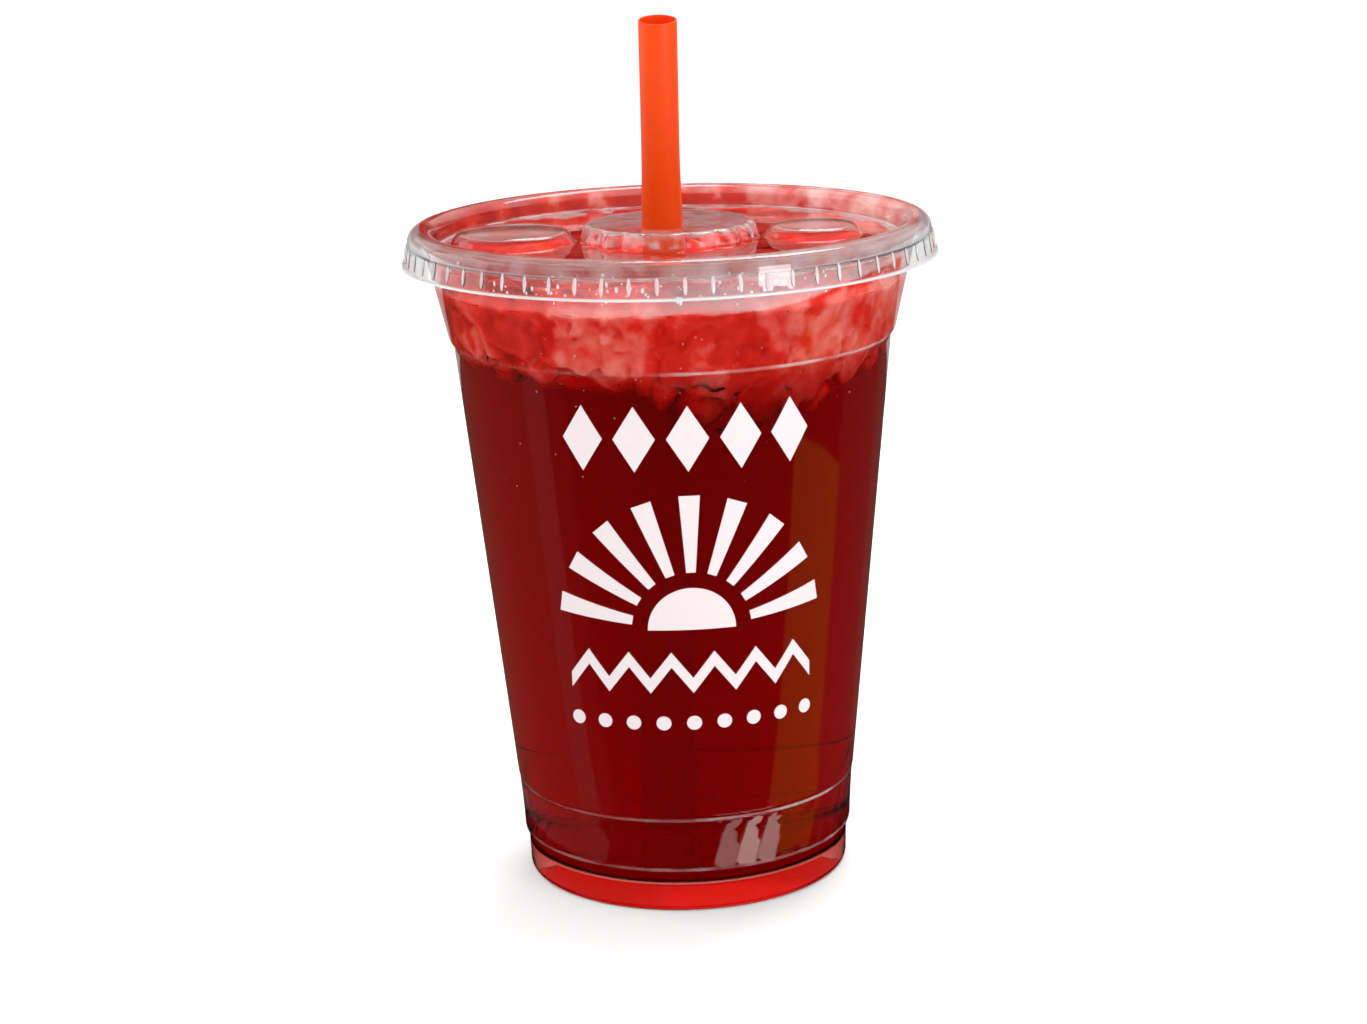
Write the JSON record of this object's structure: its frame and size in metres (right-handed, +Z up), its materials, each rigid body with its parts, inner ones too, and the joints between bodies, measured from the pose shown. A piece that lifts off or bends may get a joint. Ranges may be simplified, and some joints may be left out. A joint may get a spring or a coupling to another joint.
{
  "type": "iced pomegranate green tea",
  "caption": "Iced pomegranate green tea in a clear tapered plastic cup with a flat clear lid, crushed ice and an orange straw",
  "frame": {"origin": "centre of the cup's foot, on the surface it stands on", "axes": "+Z up along the cup's axis, -Y towards the front with the print, +X to the right seen from the front"},
  "size_m": [0.102, 0.102, 0.1674],
  "materials": {
    "clear_pet": "glossy clear PET, thermoformed",
    "straw_plastic": "extruded orange polypropylene, satin gloss",
    "tea": "clear deep red drink",
    "ice": "cloudy wet crushed ice",
    "white_ink": "screen-printed white ink on the outside of the cup"
  },
  "bodies": {
    "root": {"cup": "clear_pet", "lid": "clear_pet", "straw": "straw_plastic", "drink": "tea", "ice": "ice"}
  },
  "joints": []
}
